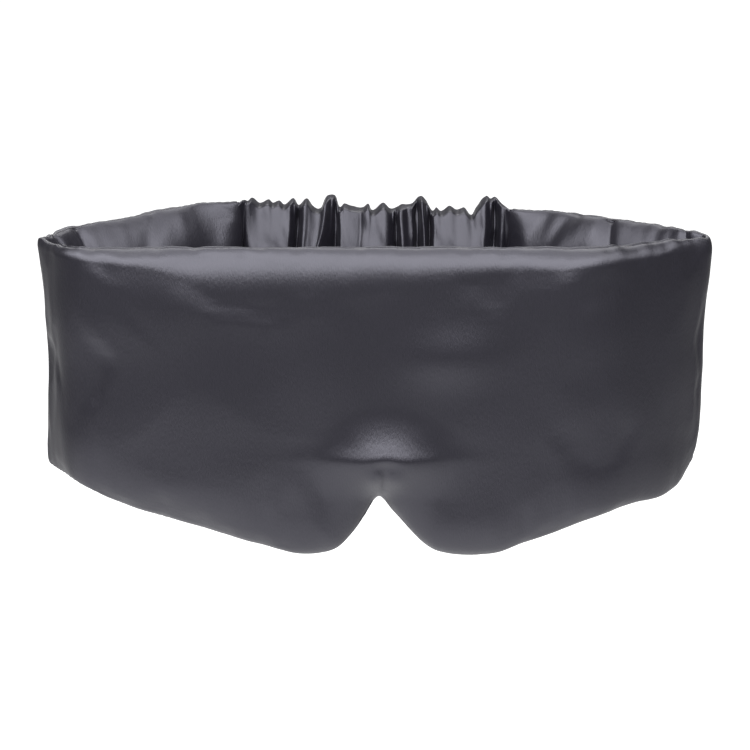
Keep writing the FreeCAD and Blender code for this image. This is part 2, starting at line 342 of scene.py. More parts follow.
def shoulder(line, s):
    """How far below the top rim the padding reaches its full depth."""
    left = line.near(*LEFT_FOLD)
    right = line.near(*RIGHT_FOLD)
    marks = (
        (left - 50.0, 20.0), (left - 20.0, 15.0), (left, 4.5), (left + 24.0, 4.0), (-78.0, 7.5),
        (-50.0, 17.0),
        (-10.0, 17.5), (14.0, 14.0), (34.0, 10.0), (60.0, 7.5), (right, 7.0), (right + 20.0, 15.0),
        (right + 50.0, 20.0),
    )
    return through(marks, s)


def to_rim(s, z, rim_s, rim_z):
    """Shortest distance from each point of the flat panel to its lower rim."""
    gap = np.full(s.shape, 1e9)
    for piece in np.array_split(np.arange(len(rim_s)), 24):
        ds = s[..., None] - rim_s[piece]
        dz = z[..., None] - rim_z[piece]
        gap = np.minimum(gap, np.sqrt((ds * ds + dz * dz).min(-1)))
    return gap


def puckers(s, gap, height, reach):
    """Little gathers that the seam pulls into the cloth: uneven waves that die away from the rim."""
    waves = ((7.3, 0.3, 0.1), (4.9, 0.16, 0.37), (11.9, 0.5, 0.71), (19.0, 0.5, 0.2))
    strength = 0.65 + 0.35 * ripple(s, ((53.0, 0.6, 0.3), (31.0, 0.4, 0.8)))
    return height * ripple(s, waves) * strength * np.exp(-gap / reach)


def panel_grid(line, s, rows, top, foot, side, grow=0.0, relief=None, shrink=0.0):
    """A padded panel's face: the middle line moved along its normal by the thickness times a
    quarter circle's rise from each rim, with a groove along the seam."""
    share = rim_rows(rows)[:, None]
    high = top(line, s) - shrink
    low = foot(line, s) + shrink
    z = low + (high - low) * share
    ss = np.broadcast_to(s, z.shape)
    gap_top = high - z
    gap_low = to_rim(ss, z, s, low)
    rise_top = 0.72 * quarter(gap_top, shoulder(line, s)) + 0.28 * quarter(gap_top, 40.0)
    by_notch = bell(ss - 2.0, 30.0)
    rise_low = 0.8 * quarter(gap_low, 20.0 - 8.0 * by_notch) + 0.2 * quarter(gap_low, 50.0)
    deep = (thickness(line, s, side) + grow) * rise_top * rise_low
    if relief is not None:
        deep = deep + relief(ss, z, gap_top, gap_low) * np.minimum(1.0, deep / 2.0)
    groove = bell(deep, 0.9)
    z = z + np.where(share > 0.5, -0.9, 0.7) * groove * (share - 0.5) * (share - 0.5) * 4
    at_folds = bell(ss - line.near(*LEFT_FOLD), 14.0) + bell(ss - line.near(*RIGHT_FOLD), 14.0)
    bunch = 1.0 + (2.4 if side < 0 else 0.8) * at_folds
    wave = bunch * (puckers(ss, gap_top, 0.18, 7.0) + puckers(ss + 31.0, gap_low, 0.26, 8.0))
    deep = np.maximum(deep + wave * np.minimum(1.0, deep / 1.5), 0.0)
    z = z + puckers(ss + 17.0, gap_top, 0.24, 3.0) * np.minimum(1.0, deep / 1.0)
    x, y = line.at(s)
    nx, ny = line.out(s)
    tuck = pull_in(line, ss, share)
    offset = side * deep - tuck
    grid = np.stack([x + nx * offset, y + ny * offset, z + 0 * offset], -1)
    return grid, np.stack([ss, z], -1)


def pull_in(line, s, share):
    """How far a panel's middle height draws inwards beside the folds."""
    left = line.near(*LEFT_FOLD)
    right = line.near(*RIGHT_FOLD)
    at_left = bell(s - left, 16.0) * (3.4 * np.sin(math.pi * share) ** 0.8 + 0.4 * smooth(1 - share * 2.2))
    at_right = bell(s - right, 18.0) * (2.2 * smooth((1.0 - share) / 0.45) + 0.2 * smooth(1 - share * 2.6))
    wing = smooth((left - s) / 26.0) * smooth((s - line.near(*LEFT_END)) / 16.0)
    wing = wing + smooth((s - right) / 26.0) * smooth((line.near(*RIGHT_END) - s) / 16.0)
    above = np.clip(share - 0.5, 0.0, None)
    return at_left + at_right - wing * 28.0 * above**2.2


# ---- relief of the front's outer cover ----

# The swelling over the nose notch, from below its crest to above: share of its height, and stand
NOTCH_SWELL = (
    (-1.5, 0.0), (-0.95, 0.0), (-0.75, 0.06), (-0.6, 0.20), (-0.45, 0.40), (-0.3, 0.62), (-0.16, 0.81),
    (-0.05, 0.90), (0.03, 0.90), (0.1, 0.81), (0.2, 0.65), (0.35, 0.43), (0.5, 0.26), (0.7, 0.10),
    (0.85, 0.03), (1.0, 0.0), (6.0, 0.0),
)


def notch_relief(x, h, gap_low):
    """The swelling above the tack that pinches the notch, by place across and height from the tack:
    an arched slope that steepens down to a crest, a dimple at the pinch and a crease under it."""
    reach = np.maximum(21.0 - 0.014 * x * x, 8.0)
    past = h - 1.2
    swell = 6.3 * bell(x, 20.0) * through(NOTCH_SWELL, np.where(past > 0, past / reach, past / 20.0))
    pinch = -1.3 * bell(x, 5.0) * bell(h + 0.8, 2.6)
    crease = -0.6 * bell(x, 1.3) * smooth((-1.0 - h) / 3.0) * smooth(gap_low / 2.0)
    lobes = 0.5 * bell(np.abs(x) - 4.5, 3.0) * bell(h + 6.0, 4.0)
    return swell + pinch + crease + lobes


def calm_at_folds(line, relief):
    """A relief that fades out towards both folds, so that neighbouring panels meet."""
    left = line.near(*LEFT_FOLD) - FOLD_OVER
    right = line.near(*RIGHT_FOLD) + FOLD_OVER

    def faded(s, z, gap_top, gap_low):
        """The relief, less near a fold."""
        near = np.minimum(np.abs(s - left), np.abs(s - right))
        return relief(s, z, gap_top, gap_low) * smooth(near / 14.0)

    return faded


def cover_relief(s, z, gap_top, gap_low):
    """Hollows and swellings of the front cover: soft undulations, and the crease above the nose notch."""
    soft = ripple(s + 0.35 * z, ((83.0, 0.34, 0.12), (47.0, 0.20, 0.55)))
    soft = soft + ripple(z - 0.2 * s, ((61.0, 0.30, 0.3), (37.0, 0.14, 0.8)))
    cheek = 1.5 * bell(s - 27.0, 17.0) * bell(z - 19.0, 10.0)
    return soft + cheek + notch_relief(s - 3.6, z + 20.3, gap_low)


def lining_relief(s, z, gap_top, gap_low):
    """Soft undulations of the front lining: two slanting rows of waves."""
    return ripple(s - 0.3 * z, ((71.0, 0.3, 0.4), (43.0, 0.2, 0.1)))


def wing_relief(fold, marks):
    """The relief of a wing's face: soft undulations, and slanting creases at marks from the fold."""

    def relief(s, z, gap_top, gap_low):
        """Waves less a bell-shaped groove for each crease, deepest at the top rim."""
        run = np.abs(s - fold)
        soft = ripple(s + 0.5 * z, ((41.0, 0.45, 0.2), (27.0, 0.25, 0.6)))
        soft = soft + ripple(s - 0.25 * z, ((15.0, 0.12, 0.3),))
        for place, slant, depth, width in marks:
            line = run - place - slant * (gap_top - 6.0)
            soft = soft - depth * bell(line, width) * np.exp(-gap_top / 26.0)
        return soft * smooth(run / 12.0)

    return relief


# Creases of each wing's face: distance from the fold, slant, depth and width
LEFT_LINING_CREASES = ((11.0, 0.10, 2.0, 1.8), (24.0, 0.25, 2.2, 2.4), (52.0, -0.5, 1.0, 4.0))
RIGHT_LINING_CREASES = ((9.0, -0.2, 1.4, 1.6), (43.0, -0.35, 2.4, 2.4), (64.0, 0.5, 1.2, 4.0))
COVER_CREASES = ((14.0, 0.3, 0.9, 3.0), (47.0, -0.3, 0.7, 4.0), (71.0, 0.35, 1.1, 2.6))


# ---- materials ----


def linear(code):
    """An sRGB hex colour as the linear red, green, blue and alpha that shaders take."""
    parts = [int(code[k : k + 2], 16) / 255 for k in (1, 3, 5)]
    return tuple(p / 12.92 if p <= 0.04045 else ((p + 0.055) / 1.055) ** 2.4 for p in parts) + (1.0,)


def add_node(tree, kind, values=None, settings=None, links=None):
    """Adds a node, sets its settings and input values, and links its inputs."""
    made = tree.nodes.new(kind)
    for key, value in (settings or {}).items():
        setattr(made, key, value)
    for key, value in (values or {}).items():
        made.inputs[key].default_value = value
    for key, source in (links or {}).items():
        tree.links.new(source, made.inputs[key])
    return made


def new_material(name, shader):
    """A material with a Principled shader whose sockets are set, and its tree."""
    made = bpy.data.materials.new(name)
    made.use_nodes = True
    surface = made.node_tree.nodes["Principled BSDF"]
    for key, value in shader.items():
        surface.inputs[key].default_value = value
    return made, made.node_tree, surface


# How much darker and lighter than its mean a thread of the satin is
THREAD_VARIATION = 0.2


def satin(name, code, gloss):
    """Polyester satin, woven with long floats and calendered: a soft broad gloss with a faint
    grain of short floats, 0.5 mm across and 1.6 mm along the warp."""
    made, tree, surface = new_material(
        name,
        {
            "Roughness": 0.36,
            "IOR": 1.5,
            "Specular IOR Level": gloss,
            "Sheen Weight": 0.02,
            "Sheen Roughness": 0.4,
            "Sheen Tint": linear("#c9c6d6"),
            "Specular Tint": linear("#f1f0ff"),
        },
    )
    place = add_node(tree, "ShaderNodeUVMap", settings={"uv_map": "cloth"})
    warp = add_node(
        tree,
        "ShaderNodeMapping",
        {"Scale": (1 / 0.0005, 1 / 0.0016, 1.0)},
        links={"Vector": place.outputs["UV"]},
    )
    lines = add_node(
        tree,
        "ShaderNodeTexNoise",
        {"Scale": 1.0, "Detail": 2.0, "Roughness": 0.5},
        links={"Vector": warp.outputs[0]},
    )
    cloud = add_node(
        tree, "ShaderNodeTexNoise", {"Scale": 1 / 0.03, "Detail": 3.0}, links={"Vector": place.outputs["UV"]}
    )
    tone = add_node(
        tree,
        "ShaderNodeMix",
        {"Factor": 0.3},
        {"data_type": "FLOAT"},
        {"A": lines.outputs["Fac"], "B": cloud.outputs["Fac"]},
    )
    base = linear(code)
    ramp = add_node(tree, "ShaderNodeValToRGB", links={"Fac": tone.outputs[0]})
    ramp.color_ramp.elements[0].position = 0.3
    ramp.color_ramp.elements[1].position = 0.7
    ramp.color_ramp.elements[0].color = tuple(c * (1 - THREAD_VARIATION) for c in base[:3]) + (1.0,)
    ramp.color_ramp.elements[1].color = tuple(c * (1 + THREAD_VARIATION) for c in base[:3]) + (1.0,)
    tree.links.new(ramp.outputs["Color"], surface.inputs["Base Color"])
    relief = add_node(
        tree, "ShaderNodeBump", {"Strength": 0.8, "Distance": 0.0001}, links={"Height": lines.outputs["Fac"]}
    )
    tree.links.new(relief.outputs["Normal"], surface.inputs["Normal"])
    return made


def cloth(name, code, shader, spacing, depth, scale_y=1.0):
    """A plain cloth or wadding: its colour and height vary at the given spacing in metres."""
    made, tree, surface = new_material(name, shader)
    place = add_node(tree, "ShaderNodeTexCoord")
    spread = add_node(
        tree,
        "ShaderNodeMapping",
        {"Scale": (1 / spacing, 1 / spacing, scale_y / spacing)},
        links={"Vector": place.outputs["Object"]},
    )
    grain = add_node(
        tree, "ShaderNodeTexNoise", {"Scale": 1.0, "Detail": 4.0}, links={"Vector": spread.outputs[0]}
    )
    base = linear(code)
    ramp = add_node(tree, "ShaderNodeValToRGB", links={"Fac": grain.outputs["Fac"]})
    ramp.color_ramp.elements[0].color = tuple(c * 0.8 for c in base[:3]) + (1.0,)
    ramp.color_ramp.elements[1].color = tuple(min(1.0, c * 1.2) for c in base[:3]) + (1.0,)
    tree.links.new(ramp.outputs["Color"], surface.inputs["Base Color"])
    relief = add_node(
        tree, "ShaderNodeBump", {"Strength": 0.5, "Distance": depth}, links={"Height": grain.outputs["Fac"]}
    )
    tree.links.new(relief.outputs["Normal"], surface.inputs["Normal"])
    return made


def finish_of(name):
    """The named finish, made the first time that it is asked for."""
    found = bpy.data.materials.get(name)
    if found:
        return found
    colours = bpy.context.scene.mask_colours
    if name == "woven_satin_cover":
        return satin(name, colours.satin, 0.5)
    if name == "woven_satin_lining":
        return satin(name, colours.lining, 0.4)
    if name == "polyester_wadding":
        # Carded polyester wadding: white, fluffy and without gloss
        return cloth(name, colours.wadding, {"Roughness": 0.95, "Sheen Weight": 0.4}, 0.004, 0.0006)
    if name == "coated_blackout_cloth":
        # Cloth coated with black foam: nearly black, with a slight skin gloss
        return cloth(name, colours.blackout, {"Roughness": 0.6}, 0.0009, 0.0001)
    if name == "woven_elastic":
        # Rubber cores woven over with polyester: ribs along its length, dull
        return cloth(name, colours.elastic, {"Roughness": 0.7}, 0.0012, 0.0003, 6.0)
    if name == "spun_thread":
        # Spun polyester sewing thread: matt with a little sheen
        return cloth(name, colours.thread, {"Roughness": 0.6, "Sheen Weight": 0.2}, 0.0004, 0.00008)
    raise ValueError(f"no finish is named {name}")


def dress(obj, finish, slot, *nodes):
    """Gives a piece its finish, and lets it stand for its CAD nodes by hiding them. The slot is not used."""
    obj.data.materials.append(finish_of(finish))
    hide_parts(*nodes)
    return obj


def bend_wing(obj):
    """Bakes a wing piece's placement into its mesh."""
    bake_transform(obj)
    return obj


def bend_strap(obj):
    """Bakes a strap piece's placement into its mesh."""
    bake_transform(obj)
    return obj


# ---- the pieces ----


def front_columns(line, count):
    """Places of the front's columns, closer together at the notch, the folds and the left corner."""
    left = line.near(*LEFT_FOLD)
    right = line.near(*RIGHT_FOLD)

    def dense(s):
        """How close together the columns are."""
        folds = bell(s - left, 9.0) + bell(s - right, 9.0)
        corner = bell(s - left - 22.0, 12.0)
        return 1.0 + 1.6 * bell(s - 2.0, 20.0) + 2.4 * folds + 0.6 * corner

    return spaced(left - FOLD_OVER, right + FOLD_OVER, count, dense)


def wing_shapes(line, side):
    """The reliefs of a wing's outer cover and of its lining."""
    fold = line.near(*(RIGHT_FOLD if side > 0 else LEFT_FOLD))
    inner = RIGHT_LINING_CREASES if side > 0 else LEFT_LINING_CREASES
    return wing_relief(fold, COVER_CREASES), wing_relief(fold, inner)


def blurring(places, reach):
    """The weights that average values at places over a bell curve of the given reach."""
    weight = bell(places[:, None] - places[None, :], reach)
    return weight / weight.sum(1, keepdims=True)


def settled(line, s, rows, foot, shapes):
    """How a stuffed panel's cloth moves when it is sewn shut and filled: a cloth simulation of the
    closed cushion with its seams held. Its broad swelling is taken off, so what stays is the wrinkles."""
    outer, _ = panel_grid(line, s, rows, top_height, foot, 1, relief=shapes[0])
    inner, _ = panel_grid(line, s, rows, top_height, foot, -1, relief=shapes[1])
    start = np.concatenate([outer, inner[-2:0:-1]])
    change = np.zeros_like(start)
    change = simulate(start, rows)
    span = np.linspace(0.0, 100.0, rows)
    faces = {}
    index = np.concatenate([[0], np.arange(start.shape[0] - 1, rows - 1, -1), [rows - 1]])
    for face, rows_of in ((1, np.arange(rows)), (-1, index)):
        wave = change[rows_of]
        broad = np.einsum("ij,jkc,lk->ilc", blurring(span, 14.0), wave, blurring(s, 14.0))
        wave = np.einsum("ij,jkc,lk->ilc", blurring(span, 2.5), wave, blurring(s, 2.5))
        held = np.sin(np.linspace(0.0, math.pi, rows)) ** 0.5
        ends = smooth((s - s[0]) / 6.0) * smooth((s[-1] - s) / 6.0)
        wave = (wave - broad) * (held[:, None] * ends[None, :])[..., None]
        size = np.linalg.norm(wave, axis=-1, keepdims=True)
        cap = bpy.context.scene.mask_sizes.wrinkle_cap / MM
        faces[face] = wave * np.minimum(1.0, cap / np.maximum(size, 1e-6))

    def moved(columns, count, face):
        """The simulated moves at a grid's columns and rows, mixed from the four nearest points."""
        wave = faces[face]
        row = np.linspace(0.0, rows - 1.001, count)
        column = np.clip(np.interp(columns, s, np.arange(len(s))), 0.0, len(s) - 1.001)
        r0 = row.astype(int)
        c0 = column.astype(int)
        r1 = (row - r0)[:, None, None]
        c1 = (column - c0)[None, :, None]
        low = wave[r0][:, c0] * (1 - c1) + wave[r0][:, c0 + 1] * c1
        high = wave[r0 + 1][:, c0] * (1 - c1) + wave[r0 + 1][:, c0 + 1] * c1
        return low * (1 - r1) + high * r1

    return moved


def simulate(start, rows):
    """Blows up the closed cushion with its two seams and its ends held; returns each point's move."""
    scene = bpy.context.scene
    cushion = tube_mesh("cushion_trial", start)
    count = start.shape[1]
    index = np.arange(start.shape[0] * count).reshape(start.shape[0], count)
    held = np.unique(np.concatenate([index[0], index[rows - 1], index[:, 0], index[:, -1]]))
    pins = cushion.vertex_groups.new(name="seams")
    pins.add([int(v) for v in held], 1.0, "REPLACE")
    cloth = cushion.modifiers.new("cloth", "CLOTH")
    values = cloth.settings
    values.vertex_group_mass = "seams"
    values.effector_weights.gravity = 0.0
    values.quality = 6
    values.mass = 0.25
    values.tension_stiffness = 22.0
    values.compression_stiffness = 12.0
    values.shear_stiffness = 5.0
    values.bending_stiffness = 0.12
    values.use_pressure = True
    values.uniform_pressure_force = 4.0
    values.shrink_min = -0.01
    cloth.collision_settings.use_self_collision = False
    cloth.point_cache.frame_start = 1
    cloth.point_cache.frame_end = 20
    for step in range(1, 21):
        scene.frame_set(step)
    shown = cushion.evaluated_get(bpy.context.evaluated_depsgraph_get())
    flat = np.zeros(len(shown.data.vertices) * 3, np.float32)
    shown.data.vertices.foreach_get("co", flat)
    scene.frame_set(1)
    bpy.data.objects.remove(cushion)
    return flat.reshape(start.shape) / MM - start


def wing_columns(line, side, count):
    """Places of a wing's columns from fold to strap, closer together at the fold."""
    fold = line.near(*(RIGHT_FOLD if side > 0 else LEFT_FOLD))
    end = line.near(*(RIGHT_END if side > 0 else LEFT_END))
    fold += side * FOLD_OVER
    return spaced(min(fold, end), max(fold, end), count, lambda s: 1.0 + 2.6 * bell(s - fold, 8.0))


def seam_tube(name, s, middle, radius, stitch):
    """A line of stitching: a round cord along points, pinched once each stitch length."""
    turn = np.linspace(0.0, 2 * math.pi, 9)[:-1][:, None]
    size = radius * (0.62 + 0.38 * np.abs(np.sin(math.pi * s / stitch)))
    ahead = np.gradient(middle, axis=0)
    ahead /= np.linalg.norm(ahead, axis=1, keepdims=True)
    side = np.cross(ahead, np.array([0.0, 0.0, 1.0]))
    weak = np.linalg.norm(side, axis=1, keepdims=True) < 0.05
    side = np.where(weak, np.array([0.0, -1.0, 0.0]), side)
    side /= np.linalg.norm(side, axis=1, keepdims=True)
    up = np.cross(side, ahead)
    grid = middle + (np.cos(turn) * size)[..., None] * side + (np.sin(turn) * size)[..., None] * up
    return tube_mesh(name, grid)


class MASK_OT_front(bpy.types.Operator):
    """Makes the front panel's outer cover and lining"""

    bl_idname = "mask.front"
    bl_label = "Front Panel"

    def execute(self, context):
        line = plan()
        s = front_columns(line, 336)
        shapes = calm_at_folds(line, cover_relief), calm_at_folds(line, lining_relief)
        moved = settled(line, front_columns(line, 130), 44, front_foot, shapes)
        grid, uv = panel_grid(line, s, 140, top_height, front_foot, 1, relief=shapes[0])
        calm = 1.0 - 0.85 * bell(s - 3.6, 30.0)
        grid = grid + moved(s, 140, 1) * calm[None, :, None]
        cover = thicken(sheet_mesh("front_satin_cover", grid, uv), WALL)
        dress(cover, "woven_satin_cover", "satin", "front_outer_cover")
        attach(cover, "front")
        grid, uv = panel_grid(line, s, 140, top_height, front_foot, -1, relief=shapes[1])
        grid = grid + moved(s, 140, -1)
        lining = thicken(sheet_mesh("front_satin_lining", grid, uv, flip=True), WALL)
        dress(lining, "woven_satin_lining", "satin", "front_lining")
        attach(lining, "front")
        return {"FINISHED"}


class MASK_OT_wings(bpy.types.Operator):
    """Makes the outer cover and lining of both wings"""

    bl_idname = "mask.wings"
    bl_label = "Wings"

    def execute(self, context):
        line = plan()
        for side, name in ((1, "right_wing"), (-1, "left_wing")):
            s = wing_columns(line, side, 190)
            shapes = wing_shapes(line, side)
            moved = settled(line, wing_columns(line, side, 64), 36, wing_foot, shapes)
            for face, part, node in ((1, "satin_cover", "outer_cover"), (-1, "satin_lining", "lining")):
                shape = shapes[0] if face > 0 else shapes[1]
                grid, uv = panel_grid(line, s, 120, top_height, wing_foot, face, relief=shape)
                grid = grid + moved(s, 120, face)
                piece = thicken(sheet_mesh(f"{name}_{part}", grid, uv, flip=face < 0), WALL)
                finish = "woven_satin_cover" if face > 0 else "woven_satin_lining"
                dress(piece, finish, "satin", f"{name}_{node}")
                bend_wing(piece)
        return {"FINISHED"}


class MASK_OT_filling(bpy.types.Operator):
    """Makes the wadding and the light-stopping layer inside each panel"""

    bl_idname = "mask.filling"
    bl_label = "Filling"

    def execute(self, context):
        line = plan()
        left = line.near(*LEFT_FOLD)
        right = line.near(*RIGHT_FOLD)
        panels = (
            ("front", np.linspace(left + 6.0, right - 6.0, 150), front_foot, 0),
            ("left_wing", np.linspace(line.near(*LEFT_END) + 22.0, left - 8.0, 70), wing_foot, -1),
            ("right_wing", np.linspace(right + 8.0, line.near(*RIGHT_END) - 22.0, 70), wing_foot, 1),
        )
        for name, s, foot, side in panels:
            shape, behind = wing_shapes(line, side) if side else (cover_relief, lining_relief)
            outer, uv = panel_grid(line, s, 60, top_height, foot, 1, -2.8, shape, 3.6)
            inner, _ = panel_grid(line, s, 60, top_height, foot, -1, -2.2, behind, 3.6)
            body = np.concatenate([outer, inner[-2:0:-1]])
            piece = tube_mesh(f"{name}_wadding", body)
            dress(piece, "polyester_wadding", "wadding", f"{name}_padding")
            sheet_s = s[6:-6]
            layer, uv = panel_grid(line, sheet_s, 50, top_height, foot, 1, -1.9, shape, 9.0)
            layer = thicken(sheet_mesh(f"{name}_blackout_sheet", layer, uv), 0.3)
            dress(layer, "coated_blackout_cloth", "blackout_cloth", f"{name}_blackout_layer")
            for part in (piece, layer):
                if side:
                    bend_wing(part)
                else:
                    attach(part, "front")
        return {"FINISHED"}


class MASK_OT_seams(bpy.types.Operator):
    """Makes the stitching along the rims of the panels and the tack in the nose notch"""

    bl_idname = "mask.seams"
    bl_label = "Seams"

    def execute(self, context):
        line = plan()
        left = line.near(*LEFT_FOLD) - FOLD_OVER
        right = line.near(*RIGHT_FOLD) + FOLD_OVER
        panels = (
            ("front", left, right, front_foot, 0),
            ("left_wing", line.near(*LEFT_END) + 1.0, left, wing_foot, -1),
            ("right_wing", right, line.near(*RIGHT_END) - 1.0, wing_foot, 1),
        )
        for name, start, stop, foot, side in panels:
            s = np.linspace(start, stop, int((stop - start) / 0.5))
            x, y = line.at(s)
            nx, ny = line.out(s)
            rims = (("top", top_height(line, s) - 0.9, 1.0), ("bottom", foot(line, s) + 0.6, 0.0))
            for place, height, share in rims:
                tuck = pull_in(line, s, share)
                middle = np.stack([x - nx * tuck, y - ny * tuck, height], -1)
                piece = seam_tube(f"{name}_{place}_stitching", s, middle, 0.42, 2.6)
                dress(piece, "spun_thread", "sewing_thread", f"{name}_{place}_seam")
                if side:
                    bend_wing(piece)
                else:
                    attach(piece, "front")
        run = np.linspace(0.0, 5.0, 60)
        middle = np.stack([np.full_like(run, 1.5), -41.5 + run, np.full_like(run, -35.0)], -1)
        tack = seam_tube("notch_bar_tack", run, middle, 0.7, 0.5)
        dress(tack, "spun_thread", "sewing_thread", "nose_notch_tack")
        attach(tack, "front")
        return {"FINISHED"}


# The strap's inner face, left to right: place across at the top, how far the cloth stands from the
# strap's middle, and place across at the foot. Wide panels stand out and narrow folds run in between.
GATHERS = (
    (-52.5, 2.0, -52.5), (-51.2, 1.2, -51.2), (-50.4, 0.4, -50.6), (-49.8, 4.4, -49.9),
    (-49.0, 6.2, -49.2), (-47.4, 6.6, -47.6), (-44.0, 6.2, -43.8), (-40.5, 6.4, -40.4),
    (-37.0, 6.3, -37.2), (-34.0, 6.9, -34.4), (-32.6, 6.6, -33.5), (-31.6, 4.6, -32.6),
    (-29.2, -0.8, -29.8), (-28.8, 3.8, -29.2), (-28.2, 6.5, -28.6), (-25.4, 6.9, -26.8),
    (-22.4, 6.3, -25.2), (-20.6, 6.8, -24.3), (-19.4, 8.2, -23.4), (-18.4, 7.4, -22.0),
    (-17.3, 4.9, -19.8), (-14.9, -0.8, -14.3), (-14.4, 3.4, -13.7), (-13.7, 6.3, -13.0),
    (-12.4, 6.7, -12.2), (-9.0, 6.5, -9.2), (-6.6, 5.9, -7.2), (-5.4, 5.5, -6.2), (-4.5, 6.3, -5.3),
    (-2.0, 6.9, -3.0), (2.0, 7.2, 1.2), (5.0, 6.9, 4.4), (6.2, 5.0, 6.0), (8.2, -0.7, 9.6),
    (8.6, 3.6, 10.2), (9.2, 6.6, 11.0), (10.2, 7.0, 12.0), (11.4, 5.4, 12.8), (14.0, 1.8, 15.0),
    (16.9, -0.8, 17.6), (17.3, 4.0, 18.6), (17.8, 6.6, 19.4), (18.6, 6.4, 20.0), (19.6, 4.0, 20.6),
    (21.2, -0.7, 21.5), (21.6, 3.6, 21.9), (22.3, 6.6, 22.6), (23.4, 7.0, 23.4), (27.0, 7.2, 27.0),
    (31.5, 6.9, 31.8), (36.0, 7.2, 36.2), (40.0, 7.0, 40.0), (42.4, 7.1, 41.7), (43.6, 5.2, 42.8),
    (47.0, -0.8, 46.6), (47.5, 3.6, 47.2), (48.2, 6.2, 48.2), (49.4, 5.6, 49.4), (50.6, 2.4, 50.6),
    (51.4, 1.0, 51.4), (52.5, 2.0, 52.5),
)

# The strap's top edge: place across and height, with the small knobs that the elastic pulls up
TOP_EDGE = (
    (-52.5, 56.6), (-51.2, 57.8), (-50.0, 57.6), (-49.0, 56.8), (-47.8, 57.3), (-44.6, 54.9),
    (-41.0, 56.1), (-39.6, 55.0), (-37.0, 55.7), (-35.2, 54.3), (-31.6, 56.4), (-29.6, 54.2),
    (-26.4, 56.5), (-24.0, 53.6), (-20.8, 53.4), (-19.4, 56.4), (-18.2, 57.6), (-16.4, 57.7),
    (-15.0, 56.8), (-13.8, 53.6), (-11.9, 54.6), (-8.8, 53.6), (-4.6, 53.3), (-2.4, 54.4), (-1.4, 52.5),
    (3.4, 54.7), (6.1, 52.8), (10.3, 54.2), (14.2, 54.7), (17.8, 57.4), (19.6, 56.0), (22.4, 52.0),
    (23.8, 53.0), (25.3, 52.0), (29.1, 53.7), (31.4, 52.4), (34.5, 53.0), (37.4, 50.6), (39.1, 53.2),
    (43.3, 57.4), (44.8, 56.4), (46.4, 57.2), (48.7, 55.8), (51.0, 54.8), (52.5, 54.2),
)

# The gathers on the strap's outer face: place across and how far the cloth stands out
BACK_GATHERS = (
    (-52.5, 2.0), (-50.0, 4.6), (-47.6, 1.6), (-44.0, 5.0), (-41.0, 2.2), (-38.6, 4.6), (-35.4, 1.2),
    (-31.0, 5.4), (-28.4, 2.0), (-25.0, 5.6), (-21.6, 3.8), (-19.4, 1.0), (-16.0, 5.6), (-12.6, 2.0),
    (-8.4, 5.4), (-5.8, 3.6), (-3.4, 1.2), (0.4, 5.8), (4.6, 4.4), (7.0, 1.0), (10.4, 5.4),
    (13.0, 2.6), (16.6, 5.2), (19.2, 1.0), (23.4, 5.8), (26.6, 3.2), (28.6, 4.8), (31.2, 1.2),
    (35.0, 5.6), (38.4, 2.2), (41.6, 5.0), (44.0, 1.2), (47.6, 5.0), (50.2, 2.0), (52.5, 2.4),
)


def leaning(height):
    """How far the strap leans back towards its top: a slope that begins gently above mid height."""
    rise = np.clip(height - 26.0, 0.0, None)
    return 0.36 * rise * rise / (rise + 5.0)


def gathers(u):
    """How far the inner face stands out, and how far each place moves across towards the foot."""
    marks = np.array(GATHERS)
    return through(marks[:, :2], u), through(np.column_stack([marks[:, 0], marks[:, 2] - marks[:, 0]]), u)


def strap_foot(u):
    """Height of the strap's lower edge: gathered like the inner face, and uneven."""
    return -2.2 + 0.28 * (gathers(u)[0] - 5.0) + ripple(u, ((9.0, 0.5, 0.2), (5.6, 0.3, 0.7)))


